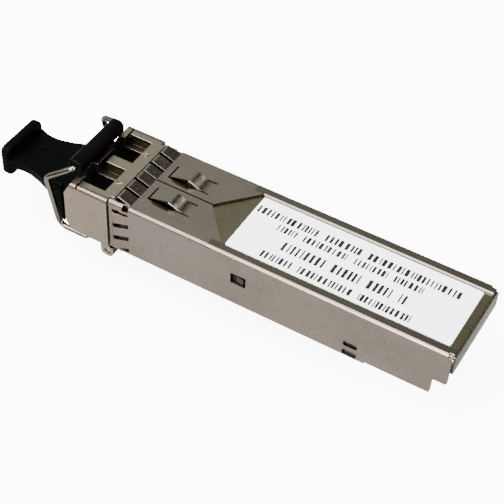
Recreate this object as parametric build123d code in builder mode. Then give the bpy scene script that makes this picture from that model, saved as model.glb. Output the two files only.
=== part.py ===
from build123d import *
import os

os.makedirs("parts", exist_ok=True)

# Pluggable optical transceiver with a bail latch. Millimetres, Z up.
# X runs across the module, +Y towards the edge connector, -Y out of the ports.
# Y = 0 is the latch shoulder and Z = 0 the underside of the metal shell.

# ---- overall ----
FRONT = -10.5                 # front face of the nose
REAR = 45.0                   # rear face of the lid flange
SHEET = 0.3                   # shell and lid sheet
GAP = 0.05                    # assembly clearance between nested pieces
PORT_PITCH = 6.25             # LC duplex spacing
PORT_X = PORT_PITCH / 2
AXIS_Z = 4.1                  # height of the optical axes

# ---- shell ----
SHELL_HALF = 6.7
SHELL_H = 8.5
SHELL_CORNER = 0.55
NEST_R = SHELL_CORNER - SHEET - GAP   # long edges of everything that nests inside
STRIP_FRONT = -3.75           # front edge of the side strips
SIDE_REAR = 44.65             # rear edge of the side walls
FLAP_FRONT = -3.1             # front edge of the top flaps
SEAM_W = 0.2
V_POINT = 7.85                # where the two flaps part
V_END = 12.4
RIM_INNER = 5.2               # inner edge of the long top rims
RIM_EDGE_R = 0.2
REAR_RELIEF = 0.6             # corner cut-outs where the rims meet the rear flange
OPEN_FRONT = 33.8             # start of the bottom opening
SKIRT_Z = 0.65
TINE_FRONT = 42.75            # rear step of the side walls
TINE_Z = 3.3
TINE_R = 0.35                 # punched corners of the stepped lower edge
CUT = 1.0                     # extra reach of cutting blocks

# contact fingers around the shell mouth
FINGER_FRONT = -3.15
FINGER_PEAK = -2.6
FINGER_REAR = -0.65
FINGER_RISE = 0.65
TOP_FINGERS = ((0.12, 1.55), (2.05, 3.72), (4.22, 5.88))
SIDE_FINGERS = ((1.3, 2.8), (3.5, 5.0), (5.7, 7.2))
BOTTOM_FINGERS = ((2.75, 4.2), (4.65, 6.05))
BOTTOM_SLIT = 0.2
SIDE_SLIT = 0.6
SIDE_GAP = 0.25
RELIEF_X = 5.95               # half width of the opening for the top fingers
CORNER_FRONT = -1.6           # small notch in the long corners behind the fingers
CORNER_Z = 7.8
CORNER_X = 6.2

# leaf springs on the top flaps
LEAF_INNER = 1.15
LEAF_OUTER = 3.65
LEAF_SLOT = 0.2
LEAF_FRONT = 0.3
LEAF_TIP = 0.6
LEAF_REAR = 6.5
LEAF_CURVE = ((LEAF_TIP, 0.12), (1.2, 0.32), (2.0, 0.52), (2.8, 0.74), (3.4, 0.84), (3.8, 0.78),
              (4.4, 0.5), (5.0, 0.19), (5.5, 0.03))

# openings in the side walls
SNAP_Y = (14.7, 16.9)
SNAP_Z = (4.0, 5.7)
VENT_Y = (30.85, 32.8)
VENT_Z = ((2.1, 2.88), (0.42, 1.42))
VENT_R = 0.3

# latch cut-out in the bottom wall
LATCH_BAY_HALF = 2.35
LATCH_BAY_REAR = 3.5

# ---- nose casting ----
NOSE_HALF = 7.0
NOSE_BOTTOM = 0.4
NOSE_TOP = 8.65
NOSE_SHOULDER = -3.8          # rear of the wide part
NECK_HALF = SHELL_HALF - SHEET - GAP
NECK_BOTTOM = SHEET + GAP
NECK_TOP = SHELL_H - SHEET - GAP
NECK_REAR = 1.8
BRIDGE_HALF = 5.9             # full-height land in front of the fingers
BRIDGE_REAR = -3.2
RELIEF_DEPTH = 0.4            # neck cut back behind the contact fingers
NOSE_EDGE_R = 0.45            # long upper edges of the wide part
TOE_R = 1.8                   # rounded lower front edge
BROW_Y = 1.0                  # bevelled upper front edge
BROW_Z = 1.9
CAVITY_W = 4.75
CAVITY_Z = (1.75, 6.45)
CAVITY_REAR = -0.2
CHANNEL_W = 2.6               # slot for the connector's latch arm
CATCH_FRONT = -8.65
CATCH_REAR = -4.95
CATCH_W = 4.7
CATCH_Z = 7.1
TONGUE_FRONT = -7.95
TONGUE_HALF = 0.8
GROOVE_W = 0.25
GROOVE_DEPTH = 0.45
BORE_R = 1.5
MARK_Y = -4.3
MARK_SIZE = 0.55
MARK_LINE = 0.3
MARK_H = 0.08

# pivot lugs under the casting
LUG_X = (5.2, 6.75)
LUG_Y = (-5.2, -3.25)
LUG_Z = (-1.75, 1.0)
LUG_EDGE_R = 0.75
PIN_Y = -4.1
PIN_Z = -0.75
PIN_R = 0.5
PIN_HALF = 6.6
PIVOT_FIT = 0.05              # radial running clearance

# ---- bail ----
BAIL_Y = -7.4
BAIL_Z = -0.05
WIRE_R = 0.38
ARM_X = 6.65
TOE_Y = -11.8
BROW_POINTS = ((-1, -13.7, 8.3), (1, -13.5, 7.7))   # side, y and z of the upper bends
SLEEVE_Y = -10.0
SLEEVE_Z = 9.88
SLEEVE_HALF = 5.0
SLEEVE_H = 2.0
SLEEVE_W = 2.1
SLEEVE_R = 0.75
SLEEVE_END_R = 0.3
SLEEVE_EXIT = 0.4             # straight wire beyond each end of the sleeve
KNUCKLE_X = (3.65, 5.85)
KNUCKLE_R = 0.75
AXLE_END = 2.3
CAM_X = (2.3, 3.3)
CAM_REACH = 0.65
CAM_HALF = 0.2
TOE_BEND = 1.7
BROW_BEND = 0.8
END_BEND = 0.5

# ---- latch lever ----
TONGUE_X = 3.45
TONGUE_TIP = -8.3
TONGUE_Z = (-0.9, -0.5)
LEVER_HALF = 1.9
LEVER_REAR = 2.6
LEVER_Z = (0.05, 0.45)
BARREL_R = 0.88
BARREL_HALF = 2.25
RISER_Y = (-3.35, -2.7)
BOSS_HALF = 1.3
BOSS_LEN = 1.6
BOSS_Z = -0.45
BAY_CEILING = 1.2
BAY_REAR_CEILING = 1.55
BAY_STEP = -0.2

# ---- latch return spring ----
SPRING_HALF = 0.8
SPRING_T = 0.12
SPRING_POINTS = ((0.3, 1.46), (0.9, 1.3), (1.5, 1.0), (2.0, 0.62), (2.3, 0.6))

# ---- lid under the label ----
LID_FRONT = 6.3
LID_TOP = SHELL_H - SHEET - GAP
LID_HALF = 6.35
LID_FLANGE_Z = 3.7
LID_FLANGE_REAR = 33.0
LID_REAR_HALF = 6.6
LID_REAR_Z = 5.25
LID_FOLD_R = 0.55
LID_FOOT_R = 0.45
LID_NOTCH = 0.25
LID_EAR_Z = LID_TOP - 0.6     # top of the flange beyond the corner reliefs
LID_GROOVE_Z = 7.2
LID_GROOVE_W = 0.12
LID_GROOVE_D = 0.08
BARB_OUT = 0.26
BARB_Y = (15.1, 16.5)
BARB_Z = (4.25, 5.2)

# ---- label ----
LABEL_HALF = 5.0
LABEL_Y = (12.75, 43.6)
LABEL_T = 0.1
LABEL_R = 0.25

# ---- optical subassemblies ----
SNOUT_FRONT = -5.4
SNOUT_R = 1.4
FERRULE_BORE = 0.82
BORE_END = -0.6
FLANGE_R = 2.45
FLANGE_Y = (1.85, 2.75)
BODY_R = 2.1
BODY_REAR = 4.6
CAN_BORE = 1.75
CAN_BORE_FRONT = 2.3
SLEEVE_OUT = 0.8
SLEEVE_IN = 0.632
SLEEVE_SLIT = 0.12
CERAMIC_Y = (-5.2, -0.7)
CAP_R = 1.7
CAP_FRONT = 2.7
HEADER_R = 2.35
HEADER_Y = (4.65, 5.65)
LENS_R = 0.6
LENS_RISE = 0.15
LEAD_R = 0.2
LEAD_CIRCLE = 1.0
LEAD_COUNT = 4
LEAD_TURN = 45                # degrees from level to the first lead
LEAD_END = 6.6
FLEX_T = 0.15
FLEX_HALF = 2.1
FLEX_Y = 6.1
FLEX_TOP = 5.9
FLEX_REAR = 9.9
CLAMP_Y = (1.85, 2.75)
CLAMP_Z = (0.75, 2.9)
CLAMP_HALF = 6.2

# ---- board ----
BOARD_BOTTOM = 2.25
BOARD_T = 1.0
BOARD_FRONT = 8.2
BOARD_HALF = 5.8
EDGE_HALF = 4.6
EDGE_FRONT = 33.4
BOARD_REAR = 41.8
BOARD_BEVEL = 0.3
PAD_COUNT = 10
PAD_PITCH = 0.8
PAD_W = 0.5
PAD_T = 0.04
PAD_Y = (38.6, 41.4)
DRIVER = (-3.0, 14.5, 4.0, 4.0, 0.9)
AMPLIFIER = (3.0, 14.5, 3.0, 3.0, 0.85)
CONTROLLER = (0.0, 26.5, 5.0, 6.4, 1.1)
CHIP_PIN_T = 0.15
CHIP_PIN_W = 0.3
CHIP_PIN_OUT = 0.6
CHIP_PIN_ROWS = 4
SMALL_PARTS = ((-4.6, 19.5), (-2.6, 19.5), (-0.6, 19.5), (1.4, 19.5), (3.4, 19.5), (-4.6, 31.0),
               (-2.8, 31.0), (2.8, 31.0), (4.6, 31.0), (-4.4, 24.0), (4.4, 24.0), (0.0, 12.0))
SMALL_SIZE = (1.0, 0.5, 0.5)
COILS = ((-4.4, 27.6), (4.4, 27.6))
COIL_SIZE = (1.6, 2.0, 1.3)
CARRIER_FRONT = 7.4
CARRIER_REAR = 33.0
CARRIER_FLOOR = 0.75
RAIL_X = 5.3
CARRIER_HALF = 6.3

# ---- dust plug ----
PRONG_W = 4.35
PRONG_H = 4.3
PRONG_REAR = -3.2
PRONG_BORE = 1.6
PRONG_BORE_FRONT = -6.4
PLUG_FLANGE_Y = (-13.2, -12.0)
PLUG_FLANGE_HALF = 5.7
PLUG_FLANGE_Z = (-0.4, 6.2)
PLUG_FLANGE_R = 0.5
TAB_Z = 3.5
TAB_T = 1.2
TAB_SIDE = ((5.5, PLUG_FLANGE_Y[0]), (4.25, -16.3), (3.45, -19.2), (4.05, -22.3))
LIP_Y = -22.8
LIP_T = 1.4
LIP_H = 4.9
LIP_HALF = 3.9
LIP_CORNER_R = 1.0
LIP_EDGE_R = 0.4
GRIP_MARK = ((-0.15, -19.6), (-1.2, -18.2), (-0.8, -16.9))
GRIP_MARK_W = 0.5
GRIP_MARK_D = 0.15


def slab(x, y, z, mode=Mode.ADD):
    """Box from (low, high) pairs along each axis."""
    centre = Vector(*[(low + high) / 2 for low, high in (x, y, z)])
    size = [high - low for low, high in (x, y, z)]
    with Locations(centre):
        Box(*size, mode=mode)


def both(pair):
    """The pair as it stands and mirrored about the middle plane."""
    low, high = pair
    return (low, high), (-high, -low)


def strip(top, thickness):
    """Closed outline of a thin strip whose upper side follows the given points."""
    lower = [(a, b - thickness) for a, b in reversed(top)]
    Polyline(*top, *lower, close=True)


def save(item, name):
    item.part.label = name
    export_step(item.part, "parts/" + name + ".step")


# ---- shell: one folded sheet with fingers and leaf springs ----
with BuildPart() as shell:
    with BuildSketch(Plane.XZ.offset(-STRIP_FRONT)):
        with Locations((0, SHELL_H / 2)):
            RectangleRounded(2 * SHELL_HALF, SHELL_H, SHELL_CORNER)
            RectangleRounded(2 * (SHELL_HALF - SHEET), SHELL_H - 2 * SHEET, SHELL_CORNER - SHEET,
                             mode=Mode.SUBTRACT)
    extrude(amount=STRIP_FRONT - SIDE_REAR)
    # top: flap front edge, seam, V cut and the long opening for the label
    slab((-RELIEF_X, RELIEF_X), (STRIP_FRONT - CUT, FINGER_REAR), (SHELL_H - 2 * SHEET, SHELL_H + CUT),
         Mode.SUBTRACT)
    slab((-SEAM_W / 2, SEAM_W / 2), (FINGER_REAR - CUT, V_POINT + CUT), (SHELL_H - 2 * SHEET, SHELL_H + CUT),
         Mode.SUBTRACT)
    with BuildSketch(Plane.XY.offset(SHELL_H - 2 * SHEET)):
        with BuildLine():
            Polyline((0, V_POINT), (RIM_INNER, V_END), (RIM_INNER, SIDE_REAR + CUT),
                     (-RIM_INNER, SIDE_REAR + CUT), (-RIM_INNER, V_END), close=True)
        make_face()
    extrude(amount=CUT, mode=Mode.SUBTRACT)
    rims = shell.edges().filter_by(Axis.Y).filter_by_position(Axis.Z, SHELL_H - GAP, SHELL_H + GAP)
    rims = rims.filter_by_position(Axis.Y, V_END, SIDE_REAR)
    fillet(rims.filter_by_position(Axis.X, -RIM_INNER - GAP, RIM_INNER + GAP), radius=RIM_EDGE_R)
    # bottom: latch bay, rear opening and stepped side walls
    slab((-LATCH_BAY_HALF, LATCH_BAY_HALF), (STRIP_FRONT - CUT, LATCH_BAY_REAR), (-CUT, 2 * SHEET),
         Mode.SUBTRACT)
    slab((-SHELL_HALF - CUT, SHELL_HALF + CUT), (OPEN_FRONT, SIDE_REAR + CUT), (-CUT, SKIRT_Z), Mode.SUBTRACT)
    slab((-SHELL_HALF - CUT, SHELL_HALF + CUT), (TINE_FRONT, SIDE_REAR + CUT), (-CUT, TINE_Z), Mode.SUBTRACT)
    steps = shell.edges().filter_by(Axis.X).filter_by_position(Axis.Y, TINE_FRONT - GAP, SIDE_REAR + GAP)
    fillet(steps.filter_by_position(Axis.Z, SKIRT_Z - GAP, TINE_Z + GAP), radius=TINE_R)
    for side in (-1, 1):
        wall = sorted((side * (SHELL_HALF - 2 * SHEET), side * (SHELL_HALF + CUT)))
        corner = sorted((side * CORNER_X, side * (SHELL_HALF + CUT)))
        slab(wall, (FINGER_FRONT, FINGER_REAR),
             (SIDE_FINGERS[0][0] - SIDE_SLIT, SIDE_FINGERS[-1][1] + SIDE_GAP), Mode.SUBTRACT)
        slab(corner, (CORNER_FRONT, FINGER_REAR), (CORNER_Z, SHELL_H + CUT), Mode.SUBTRACT)
        slab(sorted((side * (SHELL_HALF - REAR_RELIEF), side * (SHELL_HALF + CUT))),
             (SIDE_REAR - REAR_RELIEF, SIDE_REAR + CUT), (SHELL_H - REAR_RELIEF, SHELL_H + CUT),
             Mode.SUBTRACT)
        slab(wall, SNAP_Y, SNAP_Z, Mode.SUBTRACT)
        for low, high in VENT_Z:
            with BuildSketch(Plane.YZ.offset(wall[0])):
                with Locations(((VENT_Y[0] + VENT_Y[1]) / 2, (low + high) / 2)):
                    RectangleRounded(VENT_Y[1] - VENT_Y[0], high - low, VENT_R)
            extrude(amount=wall[1] - wall[0], mode=Mode.SUBTRACT)
        for low, high in SIDE_FINGERS:
            outer = SHELL_HALF * side
            peak = (SHELL_HALF + FINGER_RISE) * side
            skin = SHEET * side
            with BuildSketch(Plane.XY.offset(low)):
                with BuildLine():
                    Polyline((outer, FINGER_FRONT), (peak, FINGER_PEAK), (outer, FINGER_REAR),
                             (outer - skin, FINGER_REAR), (peak - skin, FINGER_PEAK),
                             (outer - skin, FINGER_FRONT), close=True)
                make_face()
            extrude(amount=high - low)
    for finger in TOP_FINGERS:
        for low, high in both(finger):
            with BuildSketch(Plane.YZ.offset(low)):
                with BuildLine():
                    strip([(FLAP_FRONT, SHELL_H + SHEET / 2),
                           (FINGER_PEAK - SHEET / 2, SHELL_H + FINGER_RISE),
                           (FINGER_PEAK + SHEET / 2, SHELL_H + FINGER_RISE), (FINGER_REAR, SHELL_H)], SHEET)
                make_face()
            extrude(amount=high - low)
    for finger in BOTTOM_FINGERS:
        for low, high in both(finger):
            slab((low - GAP, high + BOTTOM_SLIT), (FINGER_FRONT, FINGER_REAR), (-CUT, 2 * SHEET),
                 Mode.SUBTRACT)
            with BuildSketch(Plane.YZ.offset(low)):
                with BuildLine():
                    strip([(FINGER_FRONT, SHEET), (FINGER_PEAK, SHEET - FINGER_RISE), (FINGER_REAR, SHEET)],
                          SHEET)
                make_face()
            extrude(amount=high - low)
    # leaf springs
    for window in both((LEAF_INNER, LEAF_OUTER)):
        slab(window, (LEAF_FRONT, LEAF_REAR), (SHELL_H - 2 * SHEET, SHELL_H + CUT), Mode.SUBTRACT)
        with BuildSketch(Plane.YZ.offset(window[0] + LEAF_SLOT)):
            with BuildLine():
                upper = Spline(*[(y, SHELL_H + rise) for y, rise in LEAF_CURVE], (LEAF_REAR, SHELL_H))
                lower = Spline(*[(y, SHELL_H - SHEET + rise) for y, rise in LEAF_CURVE],
                               (LEAF_REAR, SHELL_H - SHEET))
                Line(upper @ 0, lower @ 0)
                Line(upper @ 1, lower @ 1)
            make_face()
        extrude(amount=window[1] - window[0] - 2 * LEAF_SLOT)
save(shell, "shell")

# ---- nose casting ----
with BuildPart() as nose:
    slab((-NOSE_HALF, NOSE_HALF), (FRONT, NOSE_SHOULDER), (NOSE_BOTTOM, NOSE_TOP))
    toe = nose.edges().filter_by(Axis.X).group_by(Axis.Y)[0].sort_by(Axis.Z)
    fillet(toe[0], radius=TOE_R)
    brow = nose.edges().filter_by(Axis.X).sort_by(Axis.Z)[-2:].sort_by(Axis.Y)[0]
    chamfer(brow, length=BROW_Z, length2=BROW_Y, reference=nose.faces().sort_by(Axis.Y)[0])
    fillet(nose.edges().filter_by(Axis.Y).group_by(Axis.Z)[-1], radius=NOSE_EDGE_R)
    with BuildSketch(Plane.XZ.offset(-NOSE_SHOULDER)):
        with Locations((0, (NECK_BOTTOM + NECK_TOP) / 2)):
            RectangleRounded(2 * NECK_HALF, NECK_TOP - NECK_BOTTOM, NEST_R)
    extrude(amount=NOSE_SHOULDER - NECK_REAR)
    with BuildSketch(Plane.XZ.offset(-BRIDGE_REAR)):
        with Locations((0, (NECK_BOTTOM + NECK_TOP) / 2)):
            Rectangle(2 * NECK_HALF + CUT, NECK_TOP - NECK_BOTTOM + CUT)
            Rectangle(2 * (NECK_HALF - RELIEF_DEPTH), NECK_TOP - NECK_BOTTOM - 2 * RELIEF_DEPTH,
                      mode=Mode.SUBTRACT)
    extrude(amount=BRIDGE_REAR - FINGER_REAR, mode=Mode.SUBTRACT)
    slab((-BRIDGE_HALF, BRIDGE_HALF), (NOSE_SHOULDER, BRIDGE_REAR), (NECK_BOTTOM, NOSE_TOP))
    for side in (-1, 1):
        port = side * PORT_X
        slab((port - CAVITY_W / 2, port + CAVITY_W / 2), (FRONT - CUT, CAVITY_REAR), CAVITY_Z, Mode.SUBTRACT)
        slab((port - CHANNEL_W / 2, port + CHANNEL_W / 2), (FRONT - CUT, CATCH_REAR),
             (AXIS_Z, NOSE_TOP + CUT), Mode.SUBTRACT)
        slab((port - CATCH_W / 2, port + CATCH_W / 2), (CATCH_FRONT, CATCH_REAR), (CATCH_Z, NOSE_TOP + CUT),
             Mode.SUBTRACT)
        rail = sorted((side * (PORT_X + CATCH_W / 2 - GAP), side * (NOSE_HALF + CUT)))
        slab(rail, (CATCH_FRONT, CATCH_FRONT + GROOVE_W), (NOSE_TOP - GROOVE_DEPTH, NOSE_TOP + CUT),
             Mode.SUBTRACT)
        with BuildSketch(Plane.XZ.offset(-CAVITY_REAR)):
            with Locations((port, AXIS_Z)):
                Circle(BORE_R)
        extrude(amount=CAVITY_REAR - NECK_REAR - CUT, mode=Mode.SUBTRACT)
        with BuildSketch(Plane.XY.offset(NOSE_TOP - GAP)):
            with Locations((port, MARK_Y)):
                RegularPolygon(MARK_SIZE, 3, rotation=90 * side)
                RegularPolygon(MARK_LINE, 3, rotation=90 * side, mode=Mode.SUBTRACT)
        extrude(amount=MARK_H + GAP)
    slab((-TONGUE_HALF - GAP, TONGUE_HALF + GAP), (CATCH_FRONT, TONGUE_FRONT), (CATCH_Z, NOSE_TOP + CUT),
         Mode.SUBTRACT)
    # bay for the latch lever
    slab((-LATCH_BAY_HALF, LATCH_BAY_HALF), (NOSE_SHOULDER - CUT, BAY_STEP), (-CUT, BAY_CEILING), Mode.SUBTRACT)
    slab((-LATCH_BAY_HALF, LATCH_BAY_HALF), (BAY_STEP, NECK_REAR + CUT), (-CUT, BAY_REAR_CEILING),
         Mode.SUBTRACT)
    # lugs for the lever pin and knuckles for the bail
    for low, high in both(LUG_X):
        with BuildSketch(Plane.YZ.offset(low)):
            with Locations(((LUG_Y[0] + LUG_Y[1]) / 2, (LUG_Z[0] + LUG_Z[1]) / 2)):
                RectangleRounded(LUG_Y[1] - LUG_Y[0], LUG_Z[1] - LUG_Z[0], LUG_EDGE_R)
            with Locations((NOSE_SHOULDER + CUT / 2, -GAP + CUT)):
                Rectangle(CUT, 2 * CUT, mode=Mode.SUBTRACT)
            with Locations((PIN_Y, PIN_Z)):
                Circle(PIN_R, mode=Mode.SUBTRACT)
        extrude(amount=high - low)
    for low, high in both(KNUCKLE_X):
        with BuildSketch(Plane.YZ.offset(low)):
            with Locations((BAIL_Y, BAIL_Z)):
                Circle(KNUCKLE_R)
            with Locations((BAIL_Y, (BAIL_Z + NOSE_BOTTOM + KNUCKLE_R) / 2)):
                Rectangle(2 * KNUCKLE_R, NOSE_BOTTOM + KNUCKLE_R - BAIL_Z)
        extrude(amount=high - low)
        with BuildSketch(Plane.YZ.offset(low - GAP)):
            with Locations((BAIL_Y, BAIL_Z)):
                Circle(WIRE_R + PIVOT_FIT)
        extrude(amount=high - low + 2 * GAP, mode=Mode.SUBTRACT)
save(nose, "nose")

# ---- bail: one bent wire, flattened at both ends into cams ----
with BuildPart() as bail_wire:
    for side, brow_y, brow_z in BROW_POINTS:
        arm = side * ARM_X
        axle_end = Vector(side * AXLE_END, BAIL_Y, BAIL_Z)
        knee = Vector(arm, BAIL_Y, BAIL_Z)
        toe_corner = Vector(arm, TOE_Y, BAIL_Z)
        brow_corner = Vector(arm, brow_y, brow_z)
        grip_end = Vector(side * (SLEEVE_HALF + SLEEVE_EXIT), SLEEVE_Y, SLEEVE_Z)
        middle = Vector(0, SLEEVE_Y, SLEEVE_Z)
        with BuildLine() as run:
            FilletPolyline(axle_end, knee, (knee + toe_corner) / 2, radius=END_BEND)
            FilletPolyline((knee + toe_corner) / 2, toe_corner, (toe_corner + brow_corner) / 2, radius=TOE_BEND)
            FilletPolyline((toe_corner + brow_corner) / 2, brow_corner, (brow_corner + grip_end) / 2,
                           radius=BROW_BEND)
            FilletPolyline((brow_corner + grip_end) / 2, grip_end, middle, radius=END_BEND)
        with BuildSketch(Plane.YZ.offset(axle_end.X)):
            with Locations((BAIL_Y, BAIL_Z)):
                Circle(WIRE_R)
        sweep(path=run.wire(), transition=Transition.ROUND)
        cam = sorted((side * CAM_X[0], side * CAM_X[1]))
        with BuildSketch(Plane.YZ.offset(cam[0])):
            with Locations((BAIL_Y - CAM_REACH / 2, BAIL_Z)):
                SlotCenterToCenter(CAM_REACH, 2 * CAM_HALF)
        extrude(amount=cam[1] - cam[0])
save(bail_wire, "bail_wire")

with BuildPart() as bail_sleeve:
    with BuildSketch(Plane.YZ.offset(-SLEEVE_HALF)):
        with Locations((SLEEVE_Y, SLEEVE_Z)):
            RectangleRounded(SLEEVE_W, SLEEVE_H, SLEEVE_R)
    extrude(amount=2 * SLEEVE_HALF)
    fillet(bail_sleeve.faces().filter_by(Axis.X).edges(), radius=SLEEVE_END_R)
    with BuildSketch(Plane.YZ.offset(-SLEEVE_HALF - CUT)):
        with Locations((SLEEVE_Y, SLEEVE_Z)):
            Circle(WIRE_R)
    extrude(amount=2 * (SLEEVE_HALF + CUT), mode=Mode.SUBTRACT)
save(bail_sleeve, "bail_sleeve")

# ---- latch lever, its pin and return spring ----
with BuildPart() as latch_lever:
    slab((-TONGUE_X, TONGUE_X), (TONGUE_TIP, PIN_Y), TONGUE_Z)
    slab((-LEVER_HALF, LEVER_HALF), (RISER_Y[0], LEVER_REAR), LEVER_Z)
    slab((-LEVER_HALF, LEVER_HALF), RISER_Y, (TONGUE_Z[0], LEVER_Z[1]))
    slab((-LEVER_HALF, LEVER_HALF), (PIN_Y, RISER_Y[1]), TONGUE_Z)
    with BuildSketch(Plane.YZ.offset(-BARREL_HALF)):
        with Locations((PIN_Y, PIN_Z)):
            Circle(BARREL_R)
    extrude(amount=2 * BARREL_HALF)
    with BuildSketch(Plane.YZ.offset(-TONGUE_X - CUT)):
        with Locations((PIN_Y, PIN_Z)):
            Circle(PIN_R + PIVOT_FIT)
    extrude(amount=2 * (TONGUE_X + CUT), mode=Mode.SUBTRACT)
    with BuildSketch(Plane.YZ.offset(-BOSS_HALF)):
        with BuildLine():
            Polyline((0, LEVER_Z[0]), (0, BOSS_Z), (BOSS_LEN + BOSS_Z, BOSS_Z),
                     (BOSS_LEN + LEVER_Z[0], LEVER_Z[0]), close=True)
        make_face()
    extrude(amount=2 * BOSS_HALF)
save(latch_lever, "latch_lever")

with BuildPart() as latch_pin:
    with BuildSketch(Plane.YZ.offset(-PIN_HALF)):
        with Locations((PIN_Y, PIN_Z)):
            Circle(PIN_R)
    extrude(amount=2 * PIN_HALF)
save(latch_pin, "latch_pin")

with BuildPart() as latch_spring:
    with BuildSketch(Plane.YZ.offset(-SPRING_HALF)):
        with BuildLine():
            strip(list(SPRING_POINTS), SPRING_T)
        make_face()
    extrude(amount=2 * SPRING_HALF)
save(latch_spring, "latch_spring")

# ---- lid plate under the label, with the rear flange ----
with BuildPart() as lid:
    with BuildSketch(Plane.YZ.offset(-LID_HALF)):
        with BuildLine():
            Polyline((LID_FRONT, LID_TOP), (REAR, LID_TOP), (REAR, LID_REAR_Z), (REAR - SHEET, LID_REAR_Z),
                     (REAR - SHEET, LID_TOP - SHEET), (LID_FRONT, LID_TOP - SHEET), close=True)
        make_face()
        fillet(vertices().sort_by_distance((REAR, LID_TOP, 0))[0], radius=LID_FOLD_R)
        fillet(vertices().sort_by_distance((REAR - SHEET, LID_TOP - SHEET, 0))[0], radius=LID_FOLD_R - SHEET)
    extrude(amount=2 * LID_HALF)
    fillet(lid.edges().filter_by(Axis.Y).group_by(Axis.Z)[-1], radius=NEST_R)
    for side in (-1, 1):
        flange = sorted((side * LID_HALF, side * (LID_HALF - SHEET + GAP)))
        slab(flange, (LID_FRONT, LID_FLANGE_REAR), (LID_FLANGE_Z, LID_TOP - NEST_R))
        with BuildSketch(Plane.XY.offset(BARB_Z[0])):
            with BuildLine():
                Polyline((side * (LID_HALF - GAP), BARB_Y[0]), (side * (LID_HALF + BARB_OUT), BARB_Y[1]),
                         (side * (LID_HALF - GAP), BARB_Y[1]), close=True)
            make_face()
        extrude(amount=BARB_Z[1] - BARB_Z[0])
    with BuildSketch(Plane.XZ.offset(SHEET - REAR)):
        with BuildLine():
            Polyline((-LID_REAR_HALF, LID_EAR_Z), (-LID_REAR_HALF, LID_REAR_Z), (LID_REAR_HALF, LID_REAR_Z),
                     (LID_REAR_HALF, LID_EAR_Z), close=True)
        make_face()
        fillet(vertices().group_by(Axis.Y)[0], radius=LID_FOOT_R)
    extrude(amount=-SHEET)
    for side in (-1, 1):
        notch = sorted((side * (LID_REAR_HALF - LID_NOTCH), side * (LID_REAR_HALF + CUT)))
        slab(notch, (REAR - SHEET - LID_NOTCH, REAR + CUT), (LID_EAR_Z, LID_TOP + CUT), Mode.SUBTRACT)
    slab((-LID_REAR_HALF, LID_REAR_HALF), (REAR - LID_GROOVE_D, REAR + CUT),
         (LID_GROOVE_Z, LID_GROOVE_Z + LID_GROOVE_W), Mode.SUBTRACT)
save(lid, "lid")

# ---- label ----
with BuildPart() as label:
    with BuildSketch(Plane.XY.offset(LID_TOP)):
        with Locations((0, (LABEL_Y[0] + LABEL_Y[1]) / 2)):
            RectangleRounded(2 * LABEL_HALF, LABEL_Y[1] - LABEL_Y[0], LABEL_R)
    extrude(amount=LABEL_T)
save(label, "label")

# ---- transmit and receive optics: moulded barrels with a clear wall between ferrule and can ----
for name, side in (("tx", -1), ("rx", 1)):
    port = side * PORT_X
    with BuildPart() as barrel:
        for radius, y_low, y_high in ((SNOUT_R, SNOUT_FRONT, BODY_REAR), (FLANGE_R, *FLANGE_Y),
                                      (BODY_R, FLANGE_Y[1], BODY_REAR)):
            with BuildSketch(Plane.XZ.offset(-y_low)):
                with Locations((port, AXIS_Z)):
                    Circle(radius)
            extrude(amount=y_low - y_high)
        for radius, y_low, y_high in ((FERRULE_BORE, SNOUT_FRONT - CUT, BORE_END),
                                      (CAN_BORE, CAN_BORE_FRONT, BODY_REAR + CUT)):
            with BuildSketch(Plane.XZ.offset(-y_low)):
                with Locations((port, AXIS_Z)):
                    Circle(radius)
            extrude(amount=y_low - y_high, mode=Mode.SUBTRACT)
    save(barrel, name + "_barrel")

    with BuildPart() as ceramic:
        with BuildSketch(Plane.XZ.offset(-CERAMIC_Y[0])):
            with Locations((port, AXIS_Z)):
                Circle(SLEEVE_OUT)
                Circle(SLEEVE_IN, mode=Mode.SUBTRACT)
            with Locations((port, AXIS_Z + SLEEVE_OUT)):
                Rectangle(SLEEVE_SLIT, SLEEVE_OUT, mode=Mode.SUBTRACT)
        extrude(amount=CERAMIC_Y[0] - CERAMIC_Y[1])
    save(ceramic, name + "_ceramic_sleeve")

    with BuildPart() as can:
        for radius, y_low, y_high in ((CAP_R, CAP_FRONT, HEADER_Y[0]), (HEADER_R, *HEADER_Y),
                                      (LENS_R, CAP_FRONT - LENS_RISE, CAP_FRONT)):
            with BuildSketch(Plane.XZ.offset(-y_low)):
                with Locations((port, AXIS_Z)):
                    Circle(radius)
            extrude(amount=y_low - y_high)
    save(can, name + "_can")

    with BuildPart() as leads:
        with BuildSketch(Plane.XZ.offset(-HEADER_Y[1])):
            with Locations((port, AXIS_Z)):
                with PolarLocations(LEAD_CIRCLE, LEAD_COUNT, start_angle=LEAD_TURN):
                    Circle(LEAD_R)
        extrude(amount=HEADER_Y[1] - LEAD_END)
    save(leads, name + "_leads")

    with BuildPart() as flex:
        board_top = BOARD_BOTTOM + BOARD_T
        across = (port - FLEX_HALF, port + FLEX_HALF)
        slab(across, (FLEX_Y, FLEX_Y + FLEX_T), (board_top + GAP, FLEX_TOP))
        slab(across, (FLEX_Y, FLEX_REAR), (board_top + GAP, board_top + GAP + FLEX_T))
        with BuildSketch(Plane.XZ.offset(-FLEX_Y + GAP)):
            with Locations((port, AXIS_Z)):
                with PolarLocations(LEAD_CIRCLE, LEAD_COUNT, start_angle=LEAD_TURN):
                    Circle(LEAD_R + GAP)
        extrude(amount=FLEX_Y - LEAD_END - 2 * GAP, mode=Mode.SUBTRACT)
    save(flex, name + "_flex")

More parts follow.
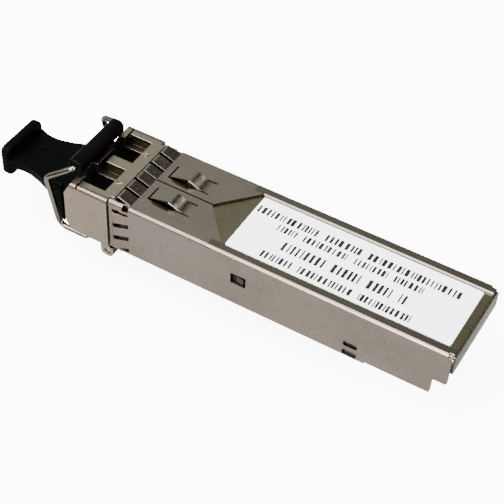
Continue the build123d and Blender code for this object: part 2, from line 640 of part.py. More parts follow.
# ---- clamp bar that seats both optical flanges ----
with BuildPart() as optics_clamp:
    slab((-CLAMP_HALF, CLAMP_HALF), CLAMP_Y, CLAMP_Z)
    with BuildSketch(Plane.XZ.offset(-CLAMP_Y[0] + CUT)):
        with Locations((-PORT_X, AXIS_Z), (PORT_X, AXIS_Z)):
            Circle(FLANGE_R + GAP)
    extrude(amount=-(CLAMP_Y[1] - CLAMP_Y[0] + 2 * CUT), mode=Mode.SUBTRACT)
    slab((-LATCH_BAY_HALF, LATCH_BAY_HALF), (CLAMP_Y[0] - CUT, CLAMP_Y[1] + CUT), (0, BAY_REAR_CEILING),
         Mode.SUBTRACT)
save(optics_clamp, "optics_clamp")

# ---- circuit board ----
with BuildPart() as circuit_board:
    slab((-BOARD_HALF, BOARD_HALF), (BOARD_FRONT, EDGE_FRONT), (BOARD_BOTTOM, BOARD_BOTTOM + BOARD_T))
    slab((-EDGE_HALF, EDGE_HALF), (EDGE_FRONT, BOARD_REAR), (BOARD_BOTTOM, BOARD_BOTTOM + BOARD_T))
    tail = circuit_board.faces().sort_by(Axis.Y)[-1].edges().filter_by(Axis.X)
    chamfer(tail, length=BOARD_BEVEL)
save(circuit_board, "circuit_board")

with BuildPart() as edge_contacts:
    for surface in (BOARD_BOTTOM - PAD_T, BOARD_BOTTOM + BOARD_T):
        for index in range(PAD_COUNT):
            pad_x = (index - (PAD_COUNT - 1) / 2) * PAD_PITCH
            slab((pad_x - PAD_W / 2, pad_x + PAD_W / 2), PAD_Y, (surface, surface + PAD_T))
save(edge_contacts, "edge_contacts")

for name, package in (("laser_driver", DRIVER), ("receiver_amplifier", AMPLIFIER),
                      ("controller_chip", CONTROLLER)):
    chip_x, chip_y, width, length, height = package
    with BuildPart() as chip:
        base = BOARD_BOTTOM + BOARD_T
        slab((chip_x - width / 2, chip_x + width / 2), (chip_y - length / 2, chip_y + length / 2),
             (base + CHIP_PIN_T, base + height))
        reach = width / 2 + CHIP_PIN_OUT
        pin_pitch = length / CHIP_PIN_ROWS
        for row in range(CHIP_PIN_ROWS):
            pin_y = chip_y + (row - (CHIP_PIN_ROWS - 1) / 2) * pin_pitch
            slab((chip_x - reach, chip_x + reach), (pin_y - CHIP_PIN_W / 2, pin_y + CHIP_PIN_W / 2),
                 (base, base + CHIP_PIN_T))
    save(chip, name)

with BuildPart() as small_parts:
    for part_x, part_y in SMALL_PARTS:
        base = BOARD_BOTTOM + BOARD_T
        slab((part_x - SMALL_SIZE[0] / 2, part_x + SMALL_SIZE[0] / 2),
             (part_y - SMALL_SIZE[1] / 2, part_y + SMALL_SIZE[1] / 2), (base, base + SMALL_SIZE[2]))
save(small_parts, "capacitors_and_resistors")

with BuildPart() as coils:
    for part_x, part_y in COILS:
        base = BOARD_BOTTOM + BOARD_T
        slab((part_x - COIL_SIZE[0] / 2, part_x + COIL_SIZE[0] / 2),
             (part_y - COIL_SIZE[1] / 2, part_y + COIL_SIZE[1] / 2), (base, base + COIL_SIZE[2]))
save(coils, "filter_coils")

with BuildPart() as thermal_pad:
    pad_x, pad_y, width, length, height = DRIVER
    slab((pad_x - width / 2, pad_x + width / 2), (pad_y - length / 2, pad_y + length / 2),
         (BOARD_BOTTOM + BOARD_T + height, LID_TOP - SHEET))
save(thermal_pad, "thermal_pad")

with BuildPart() as board_carrier:
    slab((-CARRIER_HALF, CARRIER_HALF), (CARRIER_FRONT, CARRIER_REAR), (SHEET + GAP, BOARD_BOTTOM))
    slab((-RAIL_X, RAIL_X), (CARRIER_FRONT - CUT, CARRIER_REAR + CUT), (CARRIER_FLOOR, BOARD_BOTTOM + CUT),
         Mode.SUBTRACT)
save(board_carrier, "board_carrier")

# ---- rubber dust plug ----
with BuildPart() as dust_plug:
    for side in (-1, 1):
        port = side * PORT_X
        slab((port - PRONG_W / 2, port + PRONG_W / 2), (PLUG_FLANGE_Y[1], PRONG_REAR),
             (AXIS_Z - PRONG_H / 2, AXIS_Z + PRONG_H / 2))
    with BuildSketch(Plane.XZ.offset(-PLUG_FLANGE_Y[0])):
        with Locations((0, (PLUG_FLANGE_Z[0] + PLUG_FLANGE_Z[1]) / 2)):
            RectangleRounded(2 * PLUG_FLANGE_HALF, PLUG_FLANGE_Z[1] - PLUG_FLANGE_Z[0], PLUG_FLANGE_R)
    extrude(amount=PLUG_FLANGE_Y[0] - PLUG_FLANGE_Y[1])
    with BuildSketch(Plane.XY.offset(TAB_Z - TAB_T / 2)):
        with BuildLine():
            for side in (-1, 1):
                Spline(*[(side * half, y) for half, y in TAB_SIDE])
            for half, y in (TAB_SIDE[0], TAB_SIDE[-1]):
                Line((-half, y), (half, y))
        make_face()
    extrude(amount=TAB_T)
    with BuildSketch(Plane.XY.offset(TAB_Z + TAB_T / 2 - GRIP_MARK_D)):
        with BuildLine():
            ThreePointArc(*GRIP_MARK)
        trace(line_width=GRIP_MARK_W)
    extrude(amount=GRIP_MARK_D + CUT, mode=Mode.SUBTRACT)
    with BuildPart(mode=Mode.PRIVATE) as lip:
        with BuildSketch(Plane.XZ.offset(LIP_T / 2 - LIP_Y)):
            with Locations((0, TAB_Z)):
                RectangleRounded(2 * LIP_HALF, LIP_H, LIP_CORNER_R)
        extrude(amount=-LIP_T)
        fillet(lip.faces().filter_by(Axis.Y).edges(), radius=LIP_EDGE_R)
    add(lip.part)
    for side in (-1, 1):
        with BuildSketch(Plane.XZ.offset(-PRONG_BORE_FRONT)):
            with Locations((side * PORT_X, AXIS_Z)):
                Circle(PRONG_BORE)
        extrude(amount=PRONG_BORE_FRONT - PRONG_REAR - CUT, mode=Mode.SUBTRACT)
save(dust_plug, "dust_plug")
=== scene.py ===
import math
import random

import bpy
from mathutils import Matrix, Vector


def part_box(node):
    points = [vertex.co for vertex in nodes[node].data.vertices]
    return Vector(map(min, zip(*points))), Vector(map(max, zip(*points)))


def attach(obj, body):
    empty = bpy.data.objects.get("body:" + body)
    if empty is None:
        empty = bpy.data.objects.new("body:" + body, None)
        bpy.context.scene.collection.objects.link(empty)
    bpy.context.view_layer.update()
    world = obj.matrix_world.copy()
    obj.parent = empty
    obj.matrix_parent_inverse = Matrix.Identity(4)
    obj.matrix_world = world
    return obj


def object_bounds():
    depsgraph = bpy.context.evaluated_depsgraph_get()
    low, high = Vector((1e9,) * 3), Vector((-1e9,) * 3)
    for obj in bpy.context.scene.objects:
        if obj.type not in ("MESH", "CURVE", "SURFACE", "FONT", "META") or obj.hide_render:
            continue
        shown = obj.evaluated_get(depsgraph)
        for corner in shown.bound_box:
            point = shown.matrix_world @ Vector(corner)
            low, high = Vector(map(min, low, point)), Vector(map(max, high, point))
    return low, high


MM = 0.001

# camera, with angles in degrees, and lens and sensor in mm
AZIMUTH = 118.18
ELEVATION = 46.03
ROLL = 3.17
DISTANCE = 171.26 * MM
TARGET = Vector((0.967, 14.50, 4.271)) * MM
LENS = 95.58
SENSOR = 36.0
CLIP = (0.005, 20.0)

# floor and world
FLOOR_DROP = 4.0 * MM                   # leaves room for the open bail
FLOOR_SIZE = 6.0
FLOOR_GREY = (0.30, 0.30, 0.30)         # as it shows in the metal
FLOOR_PAPER = (0.94, 0.94, 0.935)
FLOOR_FIBRE = (0.93, 0.93, 0.925)
FLOOR_GLOW = 8.0
FIBRE_SCALE = 600.0
FIBRE_SPAN = (0.4, 0.6)
WORLD_TINT = (0.885, 1.0, 0.915)
WORLD_DIM = 0.08
WORLD_LIT = 0.90
WORLD_AXIS = (-0.50, -0.84, 0.20)       # towards the lit side
WORLD_FADE = (0.36, 0.70)               # the light rises between these cosines from the axis

# area lights aimed at TARGET: name, place and size in metres, watts
LIGHTS = (
    ("overhead", (0.17, -0.12, 0.36), (0.50, 0.50), 9.5),
    ("near_fill", (0.40, 0.02, 0.20), (0.22, 0.22), 2.6),
    ("rear_fill", (0.04, 0.42, 0.26), (0.26, 0.20), 4.8),
    ("streak", (-0.245, 0.160, 0.29), (0.045, 0.045), 0.045),
)

# places on the shell and the lid, mm
SHEET_TOP = 8.5
SHEET_DEPTH = 0.3
CUT_REACH = 6.3                         # cut edges lie inside this half width
FINGER_REAR = -0.65
FINGER_SLOPE = 0.333                    # rise of the fingers towards the front
FINGER_STEP = 0.11                      # their cut edges reach this far below the slope
LEAF_PEAK = 3.4
LEAF_RISE = 0.02
RIM_FRONT = 12.6
LID_LINE = 7.2                          # height of the line across the rear flange
LID_REAR = 44.8
SCORE_HEIGHT = 0.16
ZONE_FADE = 0.12
PAST_FRONT = -20.0
PAST_REAR = 60.0

# the dark oval patch beside each leaf's raised edge, a painted reflection of the dark opening under the
# leaf, mm
LEAF_EDGES = (3.65, -1.15)              # outer side of the slot next to each leaf's raised edge
LEAF_SHADE_W = 0.62
LEAF_SHADE_Y = 2.95
LEAF_SHADE_L = 2.25
LEAF_SHADE_START = -0.1                 # it starts here, as a share of its half width
LEAF_SHADE_CORE = 0.7                   # it is fully dark up to this squared share of the oval

# which faces of the top sheet are cut edges, by the parts of their normals
UPRIGHT = 0.5                           # less than this upwards
SIDEWAYS = 0.9                          # more than this sideways

# textures: scales are noise features per metre, and spans are the parts of the noise in use
WIDE_SPAN = (0.3, 0.7)
MIDDLE_SPAN = (0.35, 0.65)
EDGE_SAMPLES = 8
RECESS_SAMPLES = 6

# metal
BLOTCH_SCALE = 220.0
BLOTCH_SPAN = (0.38, 0.66)
BLOTCH_ROUGH = (-0.04, 0.06)            # what blotches add to the roughness
FLECK_SCALE = 2600.0
FLECK_SPAN = (0.50, 0.72)
FLECK_ROUGH_SPAN = (0.4, 0.7)
FLECK_ROUGH = (-0.03, 0.05)
FLECK_DARK = 0.3                        # a fleck's share of the metal's colour
GRIT_SCALE = 9000.0
LINE_SCALE = 7000.0
LINE_STRETCH = 0.02
METAL_EDGE_TURN = 0.12                  # turn of the softened normal where the painted edge highlight is full
METAL_EDGE_GAIN = 1.35
METAL_RELIEF = 0.2
METAL_DEPTH = 0.05 * MM
CUT_ROUGH = 0.6

# moulded pieces
BROAD_SCALE = 260.0
MOULD_SCALE = 3000.0
MOULD_ROUGH = (-0.04, 0.04)
MOULD_DEPTH = 0.03 * MM
MOULD_EDGE = 0.05 * MM
MOULD_EDGE_TURN = 0.2
MOULD_EDGE_GAIN = 1.8
MOULD_EDGE_MOST = 0.5
DUST_SPAN = (0.42, 0.75)
DUST_MOST = 0.6
DUST_GAIN = 1.5
DUST_LIFT = 0.01

# colours that several places share
NICKEL = (0.235, 0.192, 0.162)
NICKEL_STAIN = (0.195, 0.162, 0.135)
SHADE = (0.012, 0.010, 0.008)
# painted shade: the colour that recesses, slots and corners turn towards
RECESS_SHADE_TONE = (0.006, 0.005, 0.004)
# painted highlight and painted shade for the top sheet's cut edges
CUT_HIGHLIGHT_TONE = (0.62, 0.58, 0.52)
CUT_SHADE_TONE = (0.035, 0.028, 0.021)
# painted reflection of the dark opening under each leaf
LEAF_REFLECTION_TONE = (0.05, 0.038, 0.027)
BLACK = (0.0006, 0.0006, 0.0007)
BLACK_DUST = (0.0014, 0.0014, 0.0016)

# label print, mm
PRINT_LIFT = 0.006 * MM
GAP_SHARE = 0.8                         # a gap's width beside a bar's
GROUP_GAP = 1.6                         # the gap after a group, beside the widest bar
# centre across, begin and end along, height, bar and gap widths, bars per group
ROWS = (
    (-2.85, 13.1, 42.6, 1.25, (0.12, 0.34), (15, 8, 21)),
    (-1.15, 16.9, 38.3, 1.15, (0.11, 0.30), (6, 11, 9, 8)),
    (1.40, 19.0, 37.1, 1.60, (0.17, 0.44), (9, 6, 5, 2)),
    (3.85, 17.3, 38.8, 1.20, (0.12, 0.34), (8, 13, 14)),
)

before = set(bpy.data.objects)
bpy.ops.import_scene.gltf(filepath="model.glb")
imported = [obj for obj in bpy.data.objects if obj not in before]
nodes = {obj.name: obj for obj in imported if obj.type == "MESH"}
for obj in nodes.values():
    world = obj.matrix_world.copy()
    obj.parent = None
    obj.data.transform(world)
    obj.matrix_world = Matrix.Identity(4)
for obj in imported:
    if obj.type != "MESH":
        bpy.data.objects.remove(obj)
start_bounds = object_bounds()
random.seed(11)


# ---------------------------------------------------------------- shader helpers
def make(tree, kind, settings=None, **inputs):
    """A shader node with plain values on its sockets, or links where the value is a socket.

    An input is named by its label, with _ for a space, or by i and its number.
    """
    node = tree.nodes.new(kind)
    for key, value in (settings or {}).items():
        setattr(node, key, value)
    for key, value in inputs.items():
        numbered = key[0] == "i" and key[1:].isdigit()
        socket = node.inputs[int(key[1:]) if numbered else key.replace("_", " ")]
        if isinstance(value, bpy.types.NodeSocket):
            tree.links.new(value, socket)
        else:
            socket.default_value = value
    return node


def fresh(name):
    """A new material with nothing but its output node."""
    material = bpy.data.materials.new(name)
    material.use_nodes = True
    tree = material.node_tree
    tree.nodes.clear()
    output = tree.nodes.new("ShaderNodeOutputMaterial")
    return material, tree, output


def object_place(tree):
    """Object coordinates whole, and split into across, along and up."""
    coords = tree.nodes.new("ShaderNodeTexCoord").outputs["Object"]
    return coords, make(tree, "ShaderNodeSeparateXYZ", i0=coords).outputs


def noise(tree, coords, scale, detail=4.0, rough=0.55, stretch=(1, 1, 1)):
    """Noise with its features scaled in object metres."""
    mapping = make(tree, "ShaderNodeMapping", Vector=coords, Scale=[scale * part for part in stretch])
    texture = make(tree, "ShaderNodeTexNoise", Vector=mapping.outputs[0], Scale=1.0, Detail=detail,
                   Roughness=rough)
    return texture.outputs[0]


def remap(tree, value, low, high, to_low, to_high):
    """The span from low to high turned into another span, and held at its ends."""
    node = make(tree, "ShaderNodeMapRange", {"clamp": True}, Value=value, From_Min=low, From_Max=high,
                To_Min=to_low, To_Max=to_high)
    return node.outputs[0]


def mix_color(tree, factor, first, second):
    """Two colours mixed, each a socket or three plain numbers."""
    pair = [part if isinstance(part, bpy.types.NodeSocket) else (*part, 1) for part in (first, second)]
    node = make(tree, "ShaderNodeMix", {"data_type": "RGBA"}, i0=factor, i6=pair[0], i7=pair[1])
    return node.outputs[2]


def math_node(tree, operation, first, second=0.0):
    return make(tree, "ShaderNodeMath", {"operation": operation}, i0=first, i1=second).outputs[0]


def chain(tree, operation, values):
    """One operation over any number of values, from the first on."""
    joined, *others = values
    for value in others:
        joined = math_node(tree, operation, joined, value)
    return joined


def add(tree, *values):
    return chain(tree, "ADD", values)


def times(tree, *values):
    return chain(tree, "MULTIPLY", values)


def most(tree, *values):
    return chain(tree, "MAXIMUM", values)


def inverse(tree, mask):
    return math_node(tree, "SUBTRACT", 1.0, mask)


def over(tree, value, limit):
    return math_node(tree, "GREATER_THAN", value, limit)


def under(tree, value, limit):
    return math_node(tree, "LESS_THAN", value, limit)


def unsigned(tree, value):
    return math_node(tree, "ABSOLUTE", value)


def band(tree, value, low, high):
    """1 where the value lies between the two limits, 0 elsewhere."""
    return times(tree, over(tree, value, low), under(tree, value, high))


def edge_mask(tree, radius, turn):
    """1 along sharp edges, 0 on open faces, and the softened normal."""
    soft = make(tree, "ShaderNodeBevel", {"samples": EDGE_SAMPLES}, Radius=radius).outputs[0]
    normal = tree.nodes.new("ShaderNodeNewGeometry").outputs["Normal"]
    dot = make(tree, "ShaderNodeVectorMath", {"operation": "DOT_PRODUCT"}, i0=soft, i1=normal)
    return remap(tree, dot.outputs["Value"], 1.0, 1.0 - turn, 0.0, 1.0), soft


def recess_mask(tree, reach, low, high):
    """0 on open faces, 1 deep inside slots, holes and corners within the given reach."""
    occlusion = make(tree, "ShaderNodeAmbientOcclusion", {"samples": RECESS_SAMPLES}, Distance=reach)
    return remap(tree, occlusion.outputs["AO"], low, high, 1.0, 0.0)


# ---------------------------------------------------------------- painted shade, highlights and reflections at fixed places
def cut_faces(tree, place):
    """Masks of the top sheet's cut edges: all of them, which get painted shade, and the ones that get a
    painted highlight.
    """
    across, along, up = place
    normal = tree.nodes.new("ShaderNodeNewGeometry").outputs["True Normal"]
    normal_x, _, normal_z = make(tree, "ShaderNodeSeparateXYZ", i0=normal).outputs
    cut = times(tree, under(tree, unsigned(tree, normal_z), UPRIGHT),
                over(tree, up, (SHEET_TOP - SHEET_DEPTH) * MM),
                under(tree, unsigned(tree, across), CUT_REACH * MM))
    slope = add(tree, up, times(tree, along, FINGER_SLOPE))
    slope_low = SHEET_TOP + FINGER_SLOPE * FINGER_REAR - FINGER_STEP
    finger = times(tree, under(tree, along, FINGER_REAR * MM), over(tree, slope, slope_low * MM))
    leaf = times(tree, over(tree, along, LEAF_PEAK * MM), over(tree, up, (SHEET_TOP + LEAF_RISE) * MM))
    rim = over(tree, along, RIM_FRONT * MM)
    sideways = over(tree, unsigned(tree, normal_x), SIDEWAYS)
    return cut, times(tree, most(tree, finger, leaf, rim), sideways, cut)


def leaf_shade(tree, place):
    """1 on the sheet beside each leaf's raised edge, where a painted reflection of the dark opening goes.
    """
    across, along, _ = place
    ovals = []
    for edge in LEAF_EDGES:
        x = times(tree, add(tree, across, -edge * MM), 1.0 / (LEAF_SHADE_W * MM))
        y = times(tree, add(tree, along, -LEAF_SHADE_Y * MM), 1.0 / (LEAF_SHADE_L * MM))
        squared = add(tree, times(tree, x, x), times(tree, y, y))
        oval = remap(tree, squared, LEAF_SHADE_CORE, 1.0, 1.0, 0.0)
        ovals.append(times(tree, oval, over(tree, x, LEAF_SHADE_START)))
    return most(tree, *ovals)


def paint_lower(tree, tone, place, line, rear, shade):
    """Painted shade below the line, and a dark score along it behind the rear limit."""
    _, along, up = place
    tone = mix_color(tree, under(tree, up, line * MM), tone, shade)
    score = times(tree, band(tree, up, line * MM, (line + SCORE_HEIGHT) * MM), over(tree, along, rear * MM))
    return mix_color(tree, score, tone, SHADE)


def paint_inner(tree, tone, place, half, top, rear, shade):
    """Painted shade: a darker colour inside the half width, below the top and in front of the rear limit.
    """
    across, along, up = place
    inside = times(tree, band(tree, across, -half * MM, half * MM), under(tree, up, top * MM),
                   under(tree, along, rear * MM))
    return mix_color(tree, inside, tone, shade)


def paint_zone(tree, tone, place, half, front, rear, low, shade):
    """Painted shade: a darker colour outside the half width, between front and rear, from the low limit up.
    """
    across, along, up = place
    zone = times(tree, over(tree, unsigned(tree, across), half * MM),
                 band(tree, along, front * MM, rear * MM),
                 remap(tree, up, (low - ZONE_FADE) * MM, low * MM, 0.0, 1.0))
    return mix_color(tree, zone, tone, shade)


# ---------------------------------------------------------------- kinds of material
def metal(name, color, stain, rough, grain=0.05, streak=0.05, streak_axis=1, edge=0.0, speckle=0.34,
          reach=1.6 * MM, recess_shade=0.9, deep=(0.25, 0.62), inner=None, lower=None, cut_edges=False,
          zones=()):
    """Plated metal: mottled, finely grained and drawn along one axis, with a painted highlight on sharp
    edges and painted shade in recesses.

    inner, lower, zones and cut_edges paint shade, highlights and reflections at fixed places, by the
    functions above.
    """
    material, tree, output = fresh(name)
    coords, place = object_place(tree)
    blotch = noise(tree, coords, BLOTCH_SCALE, detail=5.0)
    fleck = noise(tree, coords, FLECK_SCALE, detail=3.0, rough=0.7)
    grit = noise(tree, coords, GRIT_SCALE, detail=2.0)
    stretch = [1.0, 1.0, 1.0]
    stretch[streak_axis] = LINE_STRETCH
    lines = noise(tree, coords, LINE_SCALE, detail=2.0, rough=0.6, stretch=stretch)
    recess = recess_mask(tree, reach, *deep)

    tone = mix_color(tree, remap(tree, blotch, *BLOTCH_SPAN, 0.0, 1.0), color, stain)
    if lower is not None:
        tone = paint_lower(tree, tone, place, *lower)
    dark = [part * FLECK_DARK for part in color]
    tone = mix_color(tree, remap(tree, fleck, *FLECK_SPAN, 0.0, speckle), tone, dark)
    if inner is not None:
        tone = paint_inner(tree, tone, place, *inner)
    soft = None
    if edge > 0.0:
        # painted highlight: sharp edges turn a lighter colour, except inside recesses
        lighter_edge, soft = edge_mask(tree, edge, METAL_EDGE_TURN)
        bright = [min(1.0, part * METAL_EDGE_GAIN) for part in color]
        tone = mix_color(tree, times(tree, lighter_edge, inverse(tree, recess)), tone, bright)
    for zone in zones:
        tone = paint_zone(tree, tone, place, *zone)

    level = add(tree, remap(tree, blotch, *WIDE_SPAN, *[rough + part for part in BLOTCH_ROUGH]),
                remap(tree, lines, *MIDDLE_SPAN, -streak, streak),
                remap(tree, fleck, *FLECK_ROUGH_SPAN, *FLECK_ROUGH))
    if cut_edges:
        # painted reflection: the dark oval beside each leaf
        tone = mix_color(tree, leaf_shade(tree, place), tone, LEAF_REFLECTION_TONE)
        # painted highlight on the cut edges that face sideways, painted shade on the other cut edges
        cut, lit = cut_faces(tree, place)
        tone = mix_color(tree, cut, tone, mix_color(tree, lit, CUT_SHADE_TONE, CUT_HIGHLIGHT_TONE))
        recess = times(tree, recess, inverse(tree, lit))
        level = most(tree, level, times(tree, lit, CUT_ROUGH))
    # painted shade: darker in recesses, slots and corners, as found by occlusion
    tone = mix_color(tree, times(tree, recess, recess_shade), tone, RECESS_SHADE_TONE)

    height = add(tree, times(tree, grit, grain), times(tree, lines, streak),
                 times(tree, fleck, grain * 2.0))
    bump = make(tree, "ShaderNodeBump", Strength=METAL_RELIEF, Distance=METAL_DEPTH, Height=height)
    if soft is not None:
        tree.links.new(soft, bump.inputs["Normal"])
    shader = make(tree, "ShaderNodeBsdfPrincipled", Base_Color=tone, Metallic=1.0, Roughness=level,
                  Normal=bump.outputs[0])
    tree.links.new(shader.outputs[0], output.inputs[0])
    return material


def plastic(name, color, rough, spread=0.06, grain=0.3, dust=None, lighter_edge=0.015, specular=0.5):
    """Moulded surface: slightly uneven tone, moulded texture, dusty lighter patches and paler edges."""
    material, tree, output = fresh(name)
    coords, _ = object_place(tree)
    broad = noise(tree, coords, BROAD_SCALE, detail=5.0)
    fine = noise(tree, coords, MOULD_SCALE, detail=3.0, rough=0.6)
    mask, soft = edge_mask(tree, MOULD_EDGE, MOULD_EDGE_TURN)
    if dust is None:
        dust = [min(1.0, part * DUST_GAIN + DUST_LIFT) for part in color]
    pale = [min(1.0, part * MOULD_EDGE_GAIN + lighter_edge) for part in color]
    tone = mix_color(tree, remap(tree, broad, *DUST_SPAN, 0.0, DUST_MOST), color, dust)
    tone = mix_color(tree, times(tree, mask, MOULD_EDGE_MOST), tone, pale)
    level = add(tree, remap(tree, broad, *WIDE_SPAN, rough - spread, rough + spread),
                remap(tree, fine, *MIDDLE_SPAN, *MOULD_ROUGH))
    bump = make(tree, "ShaderNodeBump", Strength=grain, Distance=MOULD_DEPTH, Height=fine, Normal=soft)
    shader = make(tree, "ShaderNodeBsdfPrincipled", Base_Color=tone, Roughness=level,
                  Normal=bump.outputs[0], Specular_IOR_Level=specular)
    tree.links.new(shader.outputs[0], output.inputs[0])
    return material


# ---------------------------------------------------------------- materials
materials = {
    "shell": metal("shell_nickel", NICKEL, NICKEL_STAIN, 0.22, speckle=0.3, reach=0.9 * MM,
                   # painted shade on the faces inside the top sheet
                   deep=(0.12, 0.42), inner=(6.45, 8.25, PAST_REAR, SHADE), cut_edges=True,
                   # painted shade on the rim flats, and painted shade that dims the fold's highlight in
                   # front
                   zones=((5.2, 11.0, PAST_REAR, 8.495, (0.125, 0.105, 0.085)),
                          (6.3, -4.0, 11.0, 8.3, (0.125, 0.108, 0.09)))),
    "nose": metal("nose_nickel", (0.30, 0.24, 0.19), (0.25, 0.20, 0.155), 0.27, grain=0.09, streak=0.02,
                  edge=0.10 * MM, reach=2.6 * MM, recess_shade=0.95, deep=(0.3, 0.75),
                  # painted shade inside the ports and recesses below the top
                  inner=(6.7, 8.5, PAST_REAR, (0.10, 0.082, 0.058)),
                  # painted shade that dims the highlight along the nose's long top edges
                  zones=((6.3, PAST_FRONT, 5.0, 8.15, (0.14, 0.112, 0.086)),)),
    "lid": metal("lid_nickel", (0.165, 0.142, 0.098), (0.12, 0.104, 0.07), 0.28, grain=0.06,
                 # painted shade inside the lid, and a band of painted shade on the rear flange below the
                 # score
                 inner=(6.38, 7.7, 44.5, SHADE), lower=(LID_LINE, LID_REAR, (0.050, 0.042, 0.033))),
    "latch_lever": metal("latch_nickel", (0.34, 0.29, 0.24), (0.28, 0.24, 0.2), 0.3, edge=0.05 * MM),
    "latch_pin": metal("pin_steel", (0.42, 0.40, 0.36), (0.34, 0.32, 0.29), 0.25, streak_axis=0),
    "latch_spring": metal("spring_steel", (0.42, 0.39, 0.34), (0.34, 0.31, 0.27), 0.3),
    "bail_wire": metal("wire_steel", (0.21, 0.18, 0.145), (0.13, 0.112, 0.088), 0.09, streak=0.01,
                       recess_shade=0.6),
    "can": metal("can_steel", (0.45, 0.42, 0.37), (0.36, 0.33, 0.28), 0.28, streak_axis=0),
    "gold": metal("gold_plate", (0.80, 0.56, 0.22), (0.68, 0.46, 0.16), 0.28, speckle=0.12),
    "clamp": metal("clamp_steel", (0.36, 0.34, 0.31), (0.28, 0.26, 0.23), 0.38),
    # the resin's own amber, darkened as painted shade inside the module
    "optic": plastic("optic_resin", (0.10, 0.055, 0.02), 0.4, grain=0.08),
    "rubber": plastic("plug_rubber", BLACK, 0.5, grain=0.25, specular=0.02, dust=BLACK_DUST, lighter_edge=0.002),
    "sleeve": plastic("sleeve_rubber", BLACK, 0.42, grain=0.2, specular=0.03, dust=BLACK_DUST, lighter_edge=0.002),
    "zirconia": plastic("zirconia", (0.85, 0.84, 0.78), 0.2, spread=0.03, grain=0.05),
    # the film's own amber, darkened as painted shade inside the module
    "flex": plastic("polyimide_film", (0.16, 0.075, 0.018), 0.4, grain=0.1),
    "board": plastic("solder_mask", (0.02, 0.14, 0.06), 0.35, grain=0.2),
    "chip": plastic("chip_resin", (0.02, 0.02, 0.022), 0.5),
    "ceramic_chip": plastic("chip_ceramic", (0.38, 0.27, 0.16), 0.45, grain=0.2),
    "ferrite": plastic("ferrite", (0.06, 0.06, 0.065), 0.6, grain=0.4),
    "pad": plastic("thermal_pad", (0.35, 0.40, 0.46), 0.8, grain=0.4),
    "carrier": plastic("carrier_resin", (0.01, 0.01, 0.01), 0.5, dust=(0.015, 0.015, 0.015)),
    "label": plastic("label_film", (0.98, 0.98, 0.975), 0.42, spread=0.03, grain=0.04,
                     dust=(0.96, 0.96, 0.95)),
    "print": plastic("label_print", (0.006, 0.006, 0.007), 0.6, grain=0.05, specular=0.1,
                     dust=(0.01, 0.01, 0.01)),
}

# every other node has the material of its own name
finish_of = {
    "bail_sleeve": "sleeve",
    "dust_plug": "rubber",
    "optics_clamp": "clamp",
    "circuit_board": "board",
    "edge_contacts": "gold",
    "laser_driver": "chip",
    "receiver_amplifier": "chip",
    "controller_chip": "chip",
    "capacitors_and_resistors": "ceramic_chip",
    "filter_coils": "ferrite",
    "thermal_pad": "pad",
    "board_carrier": "carrier",
}
for side in ("tx", "rx"):
    finish_of[side + "_barrel"] = "optic"
    finish_of[side + "_ceramic_sleeve"] = "zirconia"
    finish_of[side + "_can"] = "can"
    finish_of[side + "_leads"] = "gold"
    finish_of[side + "_flex"] = "flex"
for name, node in nodes.items():
    node.data.materials.clear()
    node.data.materials.append(materials[finish_of.get(name, name)])


# ---------------------------------------------------------------- label print
def add_object(name, data):
    piece = bpy.data.objects.new(name, data)
    bpy.context.scene.collection.objects.link(piece)
    return piece


def print_rows():
    """Rows of slim upright bars stand for the printing."""
    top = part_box("label")[1].z + PRINT_LIFT
    verts, faces = [], []
    for centre, begin, end, height, (thin, thick), groups in ROWS:
        bars = []
        for count in groups:
            bars += [(random.uniform(thin, thick), random.uniform(thin, thick) * GAP_SHARE)
                     for _ in range(count)]
            bars.append((0.0, thick * GROUP_GAP))
        scale = (end - begin) / sum(bar + gap for bar, gap in bars)
        near, far = centre - height / 2, centre + height / 2
        y = begin
        for bar, gap in bars:
            if bar > 0.0:
                corners = ((near, y), (far, y), (far, y + bar * scale), (near, y + bar * scale))
                base = len(verts)
                verts += [(x * MM, v * MM, top) for x, v in corners]
                faces.append((base, base + 1, base + 2, base + 3))
            y += (bar + gap) * scale
    mesh = bpy.data.meshes.new("label_print")
    mesh.from_pydata(verts, [], faces)
    mesh.materials.append(materials["print"])
    piece = add_object("label_print", mesh)
    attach(piece, "housing")


print_rows()


# ---------------------------------------------------------------- studio
def floor_paper():
    """Pale paper, overexposed as seen directly and mid grey as it shows in the metal."""
    material, tree, output = fresh("floor_paper")
    coords, _ = object_place(tree)
    fibre = remap(tree, noise(tree, coords, FIBRE_SCALE), *FIBRE_SPAN, 0.0, 1.0)
    direct = tree.nodes.new("ShaderNodeLightPath").outputs["Is Camera Ray"]
    tone = mix_color(tree, direct, FLOOR_GREY, mix_color(tree, fibre, FLOOR_PAPER, FLOOR_FIBRE))
    shader = make(tree, "ShaderNodeBsdfPrincipled", Base_Color=tone, Roughness=0.8, Specular_IOR_Level=0.1,
                  Emission_Color=(1, 1, 1, 1), Emission_Strength=times(tree, direct, FLOOR_GLOW))
    tree.links.new(shader.outputs[0], output.inputs[0])
    return material


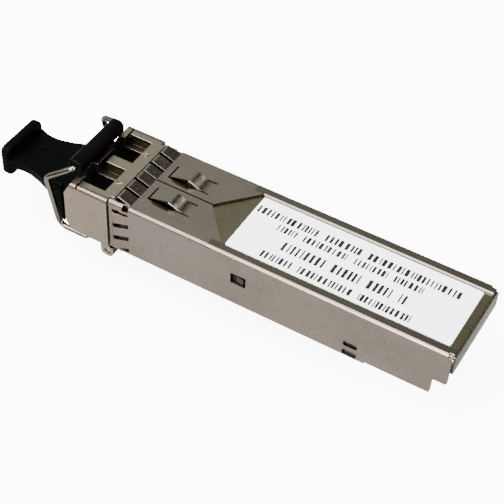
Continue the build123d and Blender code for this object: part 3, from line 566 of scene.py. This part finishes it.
def lay_floor():
    """A square sheet below the lowest point of the object."""
    half = FLOOR_SIZE / 2
    z = start_bounds[0].z - FLOOR_DROP
    mesh = bpy.data.meshes.new("floor")
    mesh.from_pydata([(-half, -half, z), (half, -half, z), (half, half, z), (-half, half, z)], [],
                     [(0, 1, 2, 3)])
    mesh.materials.append(floor_paper())
    floor = add_object("floor", mesh)


def light_world():
    """A dim room, lit from one side."""
    world = bpy.data.worlds.new("studio")
    world.use_nodes = True
    tree = world.node_tree
    direction = tree.nodes.new("ShaderNodeTexCoord").outputs["Generated"]
    facing = make(tree, "ShaderNodeVectorMath", {"operation": "DOT_PRODUCT"}, i0=direction, i1=WORLD_AXIS)
    background = tree.nodes["Background"]
    background.inputs["Color"].default_value = (*WORLD_TINT, 1)
    tree.links.new(remap(tree, facing.outputs["Value"], *WORLD_FADE, WORLD_DIM, WORLD_LIT),
                   background.inputs["Strength"])
    bpy.context.scene.world = world


def hang_light(name, position, size, power):
    data = bpy.data.lights.new(name, "AREA")
    data.shape = "RECTANGLE"
    data.size, data.size_y = size
    data.energy = power
    light = add_object(name, data)
    light.location = position
    light.rotation_euler = (TARGET - Vector(position)).to_track_quat("-Z", "Y").to_euler()


def place_camera():
    """The camera looks at TARGET from the given angles, and its up direction leans by the roll."""
    azimuth, elevation, roll = (math.radians(angle) for angle in (AZIMUTH, ELEVATION, ROLL))
    level = math.cos(elevation)
    outward = Vector((math.sin(azimuth) * level, -math.cos(azimuth) * level, math.sin(elevation)))
    level_right = (-outward).cross(Vector((0, 0, 1))).normalized()
    level_up = level_right.cross(-outward)
    right = level_right * math.cos(roll) + level_up * math.sin(roll)
    up = level_up * math.cos(roll) - level_right * math.sin(roll)
    data = bpy.data.cameras.new("camera")
    data.lens = LENS
    data.sensor_width = SENSOR
    data.clip_start, data.clip_end = CLIP
    camera = add_object("camera", data)
    turn = Matrix((right, up, outward)).transposed().to_4x4()
    camera.matrix_world = Matrix.Translation(TARGET + outward * DISTANCE) @ turn
    bpy.context.scene.camera = camera


lay_floor()
light_world()
for light_values in LIGHTS:
    hang_light(*light_values)
place_camera()
